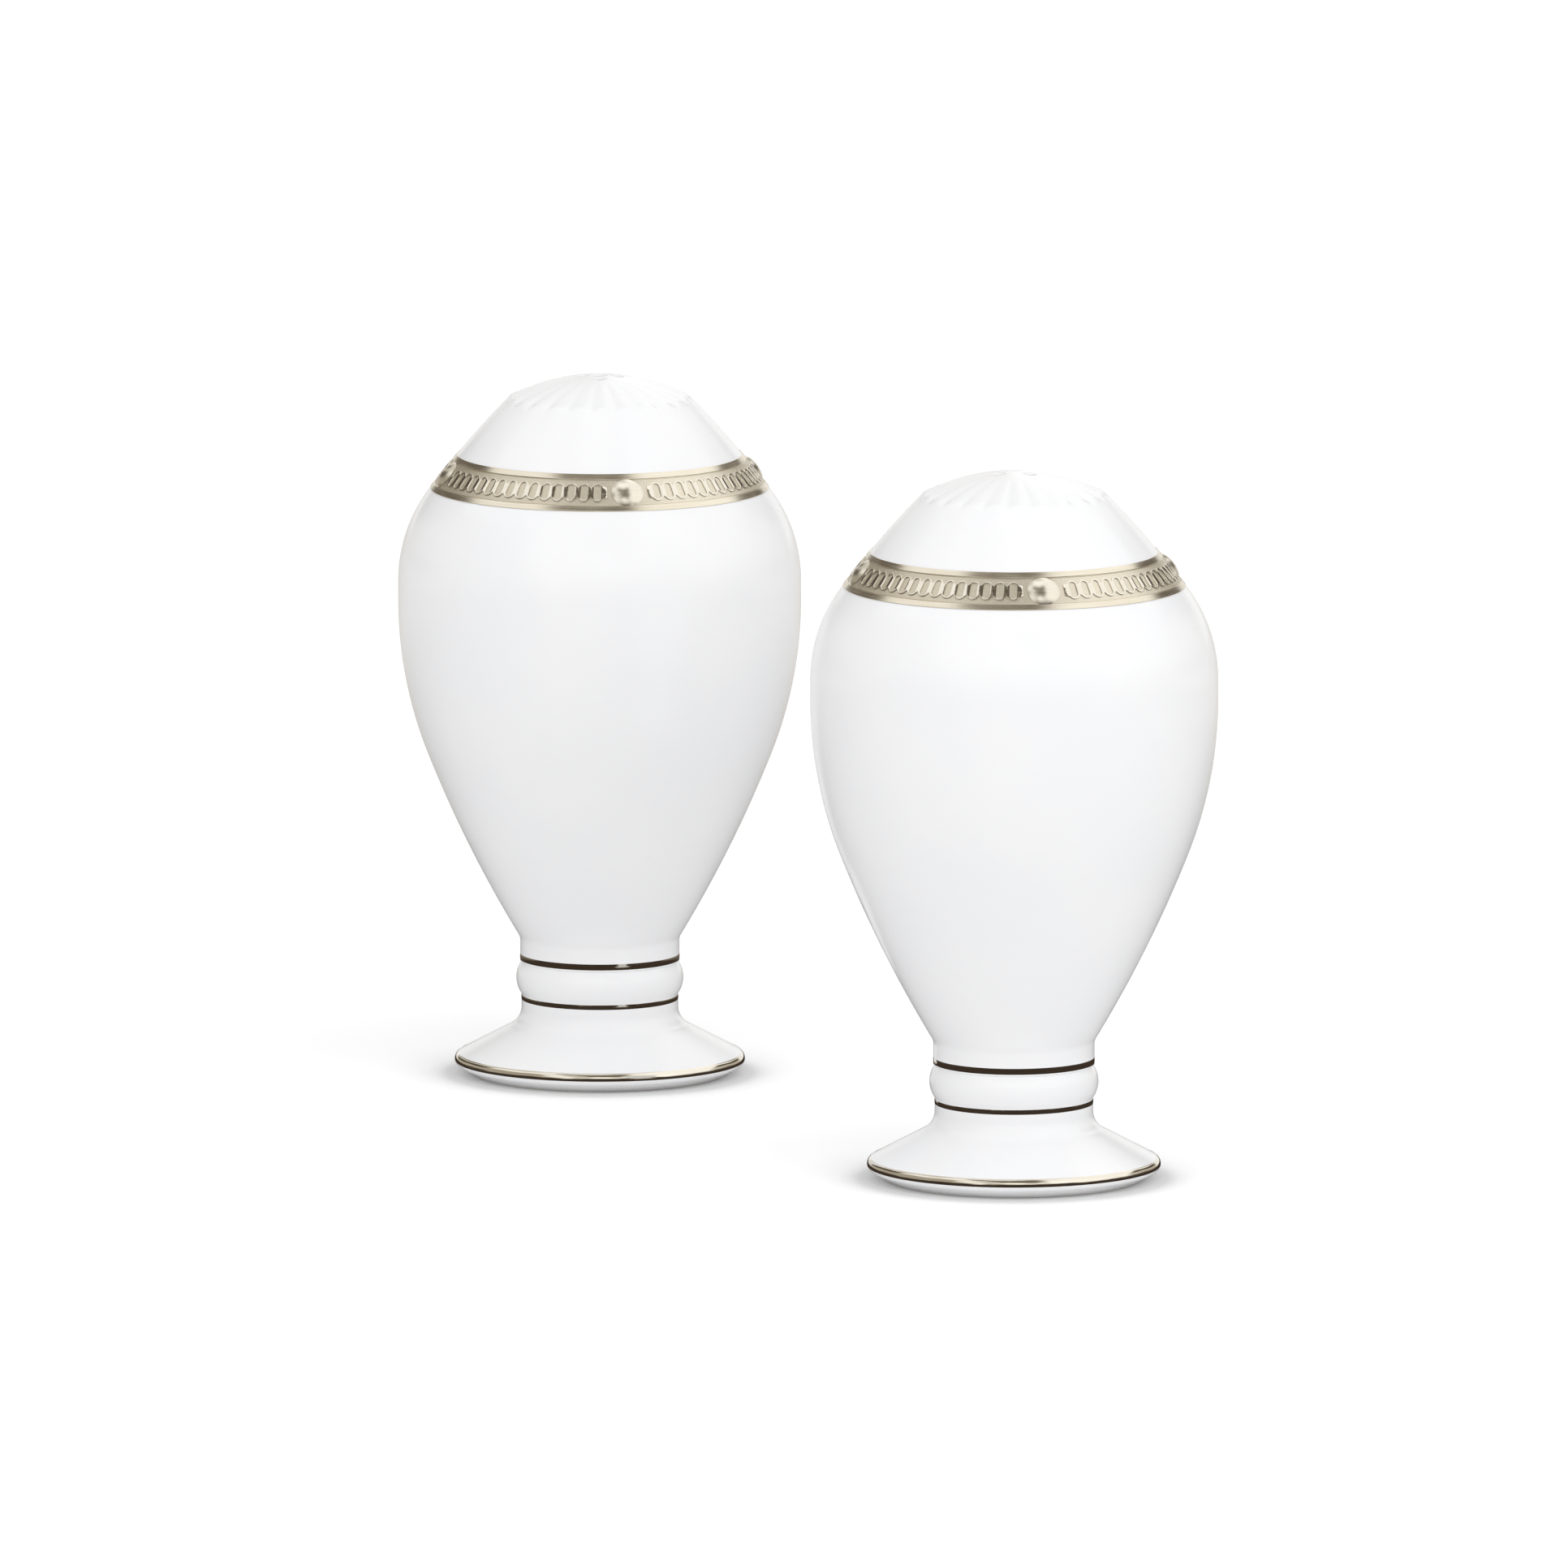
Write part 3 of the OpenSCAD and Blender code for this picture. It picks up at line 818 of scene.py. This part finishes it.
def polished_platinum(name, gloss):
    """Burnished platinum: a warm mirror with faint drawn streaks, which soften its gloss a little."""
    material, shader, main, place = finish(name)
    main.inputs["Metallic"].default_value = 1
    streak = placed(shader, STREAKS, place, {"Fineness": 90, "Clouding": 0.35})
    colour = toned(shader, ranged(shader, streak, 0, 1), *POLISHED_TONES)
    shader.link(colour, main.inputs["Base Color"])
    shader.link(ranged(shader, streak, *gloss), main.inputs["Roughness"])
    shader.link(bumped(shader, streak, 0.004), main.inputs["Normal"])
    return material


def etched_platinum():
    """Satin platinum over an etched ground, with smoother rails at the band's two edges."""
    material, shader, main, place = finish("etched_platinum")
    main.inputs["Metallic"].default_value = 1
    panel_top = on_band(RAIL_W, 0).y
    panel_low = on_band(BAND_W - RAIL_W, 0).y
    upper = height_mask(shader, place, panel_top - GROOVE_W / 2, panel_top + GROOVE_W / 2)
    lower = height_mask(shader, place, panel_low + GROOVE_W / 2, panel_low - GROOVE_W / 2)
    rail = calculated(shader, "MAXIMUM", upper, lower)
    streak = placed(shader, STREAKS, place, {"Fineness": 90, "Clouding": 0.25})
    etched = placed(shader, GRAIN, place, {"Size": 5200, "Spread": 0.65})
    texture = mixed(shader, rail, etched, streak)
    colour = toned(shader, ranged(shader, texture, 0, 1), *ETCHED_TONES)
    shader.link(colour, main.inputs["Base Color"])
    gloss = mixed(shader, rail, ranged(shader, etched, *ETCHED_GLOSS), ranged(shader, streak, *RAIL_GLOSS))
    shader.link(gloss, main.inputs["Roughness"])
    shader.link(bumped(shader, texture, 0.02, 0.6), main.inputs["Normal"])
    return material


def soft_stopper():
    """Milky moulded stopper with a satin skin."""
    material, shader, main, place = finish("soft_stopper")
    mottle = placed(shader, GRAIN, place, {"Size": 260, "Spread": 0.5})
    colour = toned(shader, ranged(shader, mottle, 0, 1), *STOPPER_TONES)
    shader.link(colour, main.inputs["Base Color"])
    skin = placed(shader, GRAIN, place, {"Size": 3200, "Spread": 0.6})
    shader.link(ranged(shader, skin, *STOPPER_GLOSS), main.inputs["Roughness"])
    shader.link(bumped(shader, skin, 0.015, 0.5), main.inputs["Normal"])
    return material


# The two shakers
body_model = spun("body", body_section())
shape_ribs(body_model)
clean(body_model)
models = {
    "band": model_band(),
    "band_links": model_chain(),
    "band_bosses": model_bosses(),
    "neck_line_upper": model_neck_line("neck_line_upper", NECK_R, LINE_TOP_Z, LINE_TOP_W),
    "neck_line_lower": model_neck_line("neck_line_lower", WAIST_R, LINE_LOW_Z, LINE_LOW_W),
    "foot_line": model_foot_line(),
    "stopper": model_stopper(),
}
china = glazed_china()
polished = polished_platinum("polished_platinum", POLISHED_GLOSS)
domed = polished_platinum("domed_platinum", BOSS_GLOSS)
etched = etched_platinum()
rubber = soft_stopper()
finishes = {"band": etched, "band_bosses": domed, "stopper": rubber}
for shaker, ring_count, with_middle in (("salt", 4, True), ("pepper", 3, False)):
    whole = pierced(body_model, "body_cut", ring_count, with_middle)
    settled(whole, shaker, f"{shaker}_body", china)
    bpy.data.objects.remove(whole)
    for part, model in models.items():
        settled(model, shaker, f"{shaker}_{part}", finishes.get(part, polished))
for model in [body_model, *models.values()]:
    bpy.data.objects.remove(model)

# Camera: a long lens at the photograph's height, aimed so that the pair falls where it should in the frame
FRAME_PX = 1932
PX_PER_MM = 8.09
PAIR_PX = Vector((992.5, 1386))
VIEW_FALL = math.radians(8.6)
VIEW_DISTANCE = 8.0
camera_data = bpy.data.cameras.new("camera")
camera = bpy.data.objects.new("camera", camera_data)
bpy.context.scene.collection.objects.link(camera)
frame_side = FRAME_PX / PX_PER_MM * MM
camera_data.lens = camera_data.sensor_width * VIEW_DISTANCE / frame_side
off = Vector((FRAME_PX / 2 - PAIR_PX.x, PAIR_PX.y - FRAME_PX / 2)) / PX_PER_MM * MM
view_up = Vector((0, math.sin(VIEW_FALL), math.cos(VIEW_FALL)))
view_ahead = Vector((0, math.cos(VIEW_FALL), -math.sin(VIEW_FALL)))
aim = Vector((off.x, 0, 0)) + off.y * view_up
camera.location = aim - VIEW_DISTANCE * view_ahead
camera.rotation_euler = (math.pi / 2 - VIEW_FALL, 0, 0)
bpy.context.scene.camera = camera


# Floor: pale, white where nothing shades it, and brighter further out so that it passes into the background.
# Near a foot its colour is darkened by ambient occlusion, a painted contact shadow laid over the one the
# lamps cast.
# The glow's ramp is in metres from the middle, and the reach of the painted contact shadow at a foot is in
# millimetres
FLOOR_SIDE = 30
FLOOR_TONE = 0.95
GLOW_NEAR = 0.11
GLOW_FAR = 0.23
GLOW_RAMP = (0.2, 0.9)
CONTACT_REACH = 13
CONTACT_PAINTED_SHADE = 0.62
CONTACT_RAMP = (0.75, 0.97)


def seen_directly(shader):
    """One for rays that show the background itself: the camera's, and those in gloss and glass."""
    rays = shader.node("ShaderNodeLightPath").outputs
    either = calculated(shader, "MAXIMUM", rays["Is Camera Ray"], rays["Is Glossy Ray"])
    return calculated(shader, "MAXIMUM", either, rays["Is Transmission Ray"])


def pale_floor():
    """White floor with painted shade where something stands close over it (ambient occlusion darkens its
    colour there), clear from underneath.
    """
    material = bpy.data.materials.new("pale_floor")
    material.use_nodes = True
    material.cycles.emission_sampling = "NONE"
    tree = material.node_tree
    tree.nodes.clear()
    shader = Shader(tree)
    bounce = shader.node("ShaderNodeBsdfDiffuse", {"Color": (FLOOR_TONE,) * 3 + (1,)})
    shaded = shader.node("ShaderNodeBsdfDiffuse")
    # Painted shadow: the floor's colour darkens by ambient occlusion close to a foot, over the shadow that
    # the lamps cast
    contact = shader.node("ShaderNodeAmbientOcclusion", {"Distance": CONTACT_REACH * MM}, samples=4)
    white = ranged(shader, contact.outputs["AO"], CONTACT_PAINTED_SHADE, 1, *CONTACT_RAMP)
    shader.link(white, shaded.inputs["Color"])
    choice = shader.node("ShaderNodeMixShader")
    seen = seen_directly(shader)
    shader.link(seen, choice.inputs["Fac"])
    shader.link(bounce.outputs[0], choice.inputs[1])
    shader.link(shaded.outputs[0], choice.inputs[2])
    distance = shader.node("ShaderNodeVectorMath", operation="LENGTH")
    shader.link(shader.node("ShaderNodeTexCoord").outputs["Object"], distance.inputs[0])
    glow = shader.node("ShaderNodeEmission", {"Color": (1, 1, 1, 1)})
    lift = ranged(shader, distance.outputs["Value"], GLOW_NEAR, GLOW_FAR, *GLOW_RAMP)
    shader.link(calculated(shader, "MULTIPLY", seen, lift), glow.inputs["Strength"])
    both = shader.node("ShaderNodeAddShader")
    shader.link(choice.outputs[0], both.inputs[0])
    shader.link(glow.outputs[0], both.inputs[1])
    one_sided = shader.node("ShaderNodeMixShader")
    shader.link(shader.node("ShaderNodeNewGeometry").outputs["Backfacing"], one_sided.inputs["Fac"])
    shader.link(both.outputs[0], one_sided.inputs[1])
    shader.link(shader.node("ShaderNodeBsdfTransparent").outputs[0], one_sided.inputs[2])
    output = shader.node("ShaderNodeOutputMaterial")
    shader.link(one_sided.outputs[0], output.inputs["Surface"])
    return material


deselect()
bpy.ops.mesh.primitive_plane_add(size=FLOOR_SIDE)
floor = bpy.context.object
floor.name = "floor"
floor.data.materials.append(pale_floor())

# Surroundings: a soft even light, white where the background shows
AMBIENT = 0.76
world = bpy.data.worlds.new("studio")
world.use_nodes = True
bpy.context.scene.world = world
sky = Shader(world.node_tree)
plain = world.node_tree.nodes["Background"]
plain.inputs["Color"].default_value = (1, 1, 1, 1)
shown = sky.node("ShaderNodeMapRange", {"To Min": AMBIENT, "To Max": 1})
sky.link(seen_directly(sky), shown.inputs["Value"])
sky.link(shown.outputs["Result"], plain.inputs["Strength"])


# Painted reflections that only gloss shows: a glowing tent round the pair, and a card over the table painted
# dark before the pair
def glowing(name):
    """New plain glowing paint for a card, with its place on the card."""
    paint = bpy.data.materials.new(name)
    paint.use_nodes = True
    paint.cycles.emission_sampling = "NONE"
    paint.node_tree.nodes.clear()
    shader = Shader(paint.node_tree)
    glow = shader.node("ShaderNodeEmission")
    output = shader.node("ShaderNodeOutputMaterial")
    shader.link(glow.outputs[0], output.inputs["Surface"])
    return paint, shader, glow, shader.node("ShaderNodeTexCoord").outputs["Object"]


def only_in_gloss(card, name, paint):
    """Names and paints a card, and hides it from all but glossy rays."""
    card.name = name
    card.data.materials.append(paint)
    for ray in ("camera", "diffuse", "transmission", "volume_scatter", "shadow"):
        setattr(card, "visible_" + ray, False)


def step_up(shader, value, edge, soft):
    """One well above an edge and none well below it."""
    step = shader.node("ShaderNodeMapRange", {"From Min": edge - soft, "From Max": edge + soft},
                       interpolation_type="SMOOTHSTEP")
    shader.link(value, step.inputs["Value"])
    return step.outputs["Result"]


def span(shader, value, low, high, soft):
    """One between two edges and none outside them."""
    over_low = step_up(shader, value, low, soft)
    over_high = step_up(shader, value, high, soft)
    return calculated(shader, "SUBTRACT", over_low, over_high)


TENT_TONES = ((0, (0.05, 0.036, 0.027, 1)), (0.5, (0.53, 0.485, 0.405, 1)), (1, (1, 0.99, 0.965, 1)))
TENT_LEVEL = 0.72
# Painted reflections: areas of the tent, laid out by the facing of a surface that mirrors them to the front
# of the pair, which set the highlights and dark reflections
# on the glaze and the platinum: turn to the right and rise over the horizontal, then the softness of the
# area's edge, all in degrees, and its level.
# A later area covers an earlier one
PAINTED_REFLECTION_AREAS = [
    ((12, 64), (14, 80), 5, 1.2),
    ((-64, -20), (12, 34), 4, 0.4),
    ((-54, -14), (34, 44), 3, 1.12),
    ((-80, 80), (-90, 11), 3, 0.0),
    ((-12, 12), (22, 34), 3, 0.14),
    ((-18, -11), (8, 34), 2, 1.1),
    ((14, 34), (11, 30), 3, 1.25),
    ((-6, 8), (13, 21), 3, 1.4),
    ((-24, 12), (44, 58), 3, 1.3),
    ((-14.5, 12), (35, 42), 2, 0.08),
    ((-130, -4), (61, 90), 8, 0.8),
    ((4, 130), (61, 90), 8, 1.4),
    ((-76, -54), (-90, 16), 4, 0.06),
    ((-76, -54), (16, 28), 3, 0.45),
    ((-76, -50), (28, 43), 3, 0.05),
    ((-76, -54), (51, 60), 3, 0.06),
    ((52, 76), (-90, 16), 4, 0.07),
    ((52, 76), (16, 28), 3, 0.5),
    ((52, 76), (51, 60), 3, 0.07),
    ((-100, -77), (12, 90), 3, 1.0),
    ((77, 100), (12, 90), 3, 1.05),
    ((50, 78), (29, 43), 3, 0.05),
]
TENT_R = 4
WARP_SIZE = 3
WARP = 14
# A card just over the floor that paints the table's reflection: dark before the pair, pale behind it
TABLE_SIDE = 8
TABLE_LIFT = 0.2
TABLE_REFLECTION_DARK_TO = 0.12
TABLE_PALE_FROM = 0.4
TABLE_PALE = 0.6


def tent_tone(shader, level):
    """Colour of the tent at a level: brown where it is dark, tan between, and a warm white."""
    ramp = shader.node("ShaderNodeValToRGB")
    stops = ramp.color_ramp.elements
    stops.new(TENT_TONES[1][0])
    for stop, (place, tone) in zip(stops, TENT_TONES):
        stop.position = place
        stop.color = tone
    shader.link(level, ramp.inputs["Fac"])
    return ramp.outputs["Color"]


def painted_reflection_tent():
    """Painted reflections: the tent's glowing areas with slightly wandering edges."""
    paint, shader, glow, place = glowing("tent")
    unit = shader.node("ShaderNodeVectorMath", operation="NORMALIZE")
    shader.link(place, unit.inputs[0])
    halfway = shader.node("ShaderNodeVectorMath", operation="ADD")
    shader.link(unit.outputs["Vector"], halfway.inputs[0])
    halfway.inputs[1].default_value = -view_ahead
    mirror = shader.node("ShaderNodeVectorMath", operation="NORMALIZE")
    shader.link(halfway.outputs["Vector"], mirror.inputs[0])
    axes = shader.node("ShaderNodeSeparateXYZ")
    shader.link(mirror.outputs["Vector"], axes.inputs["Vector"])
    x, y, z = (axes.outputs[axis] for axis in "XYZ")
    to_front = calculated(shader, "MULTIPLY", y, -1)
    turn = calculated(shader, "DEGREES", calculated(shader, "ARCTAN2", x, to_front))
    rise = calculated(shader, "DEGREES", calculated(shader, "ARCSINE", z))
    drift = shader.node("ShaderNodeTexNoise", {"Scale": WARP_SIZE, "Detail": 2})
    shader.link(unit.outputs["Vector"], drift.inputs["Vector"])
    sway = shader.node("ShaderNodeSeparateXYZ")
    shader.link(drift.outputs["Color"], sway.inputs["Vector"])
    turn = calculated(shader, "ADD", turn, ranged(shader, sway.outputs["X"], -WARP, WARP, 0, 1))
    rise = calculated(shader, "ADD", rise, ranged(shader, sway.outputs["Y"], -WARP / 2, WARP / 2, 0, 1))
    level = TENT_LEVEL
    for turns, rises, soft, light in PAINTED_REFLECTION_AREAS:
        across = span(shader, turn, *turns, soft)
        upright = span(shader, rise, *rises, soft)
        area = calculated(shader, "MULTIPLY", across, upright)
        keep = calculated(shader, "SUBTRACT", 1, area)
        level = calculated(shader, "ADD", calculated(shader, "MULTIPLY", level, keep),
                           calculated(shader, "MULTIPLY", area, light))
    shader.link(tent_tone(shader, level), glow.inputs["Color"])
    shader.link(calculated(shader, "MAXIMUM", level, 1), glow.inputs["Strength"])
    return paint


def table_reflection_paint():
    """Painted reflection of the table: dark before the pair and pale behind it."""
    paint, shader, glow, place = glowing("painted_table_reflection")
    axes = shader.node("ShaderNodeSeparateXYZ")
    shader.link(place, axes.inputs["Vector"])
    behind = ranged(shader, axes.outputs["Y"], 0, TABLE_PALE, TABLE_REFLECTION_DARK_TO, TABLE_PALE_FROM)
    shader.link(tent_tone(shader, behind), glow.inputs["Color"])
    return paint


deselect()
# The tent: a glowing sphere that only glossy rays see, painted with reflections
bpy.ops.mesh.primitive_uv_sphere_add(segments=48, ring_count=24, radius=TENT_R)
only_in_gloss(bpy.context.object, "tent", painted_reflection_tent())
deselect()
# Card seen only in gloss, painted with a dark reflection before the pair
bpy.ops.mesh.primitive_plane_add(size=TABLE_SIDE)
bpy.context.object.data.transform(Matrix.Translation((0, 0, TABLE_LIFT * MM)))
only_in_gloss(bpy.context.object, "painted_table_reflection", table_reflection_paint())


# Lights: name, turn and rise in degrees, distance, width and height in metres, and radiance
LIGHT_AIM = Vector((0, 0, HEIGHT / 2 * MM))
SOFTBOXES = [
    ("right_box", 60, 35, 2.0, 1.9, 1.4, 0.57),
    ("left_box", -60, 30, 2.0, 1.9, 1.4, 0.3),
    ("top_box", 10, 62, 2.0, 1.6, 1.2, 1.15),
    ("front_box", 8, 8, 3.0, 3.0, 2.0, 0.76),
]


def softbox(name, turn, rise, distance, width, height, radiance):
    """Soft light aimed at the pair; turn is from the front to the right, and radiance 1 is white."""
    light = bpy.data.lights.new(name, "AREA")
    light.shape = "RECTANGLE"
    light.size = width
    light.size_y = height
    light.energy = radiance * math.pi * width * height
    lamp = bpy.data.objects.new(name, light)
    bpy.context.scene.collection.objects.link(lamp)
    a, e = math.radians(turn), math.radians(rise)
    away = Vector((math.sin(a) * math.cos(e), -math.cos(a) * math.cos(e), math.sin(e)))
    lamp.location = LIGHT_AIM + distance * away
    lamp.rotation_euler = (-away).to_track_quat("-Z", "Y").to_euler()
    lamp.visible_camera = False
    lamp.visible_glossy = False


for row in SOFTBOXES:
    softbox(*row)

bpy.context.scene.view_settings.view_transform = "Standard"
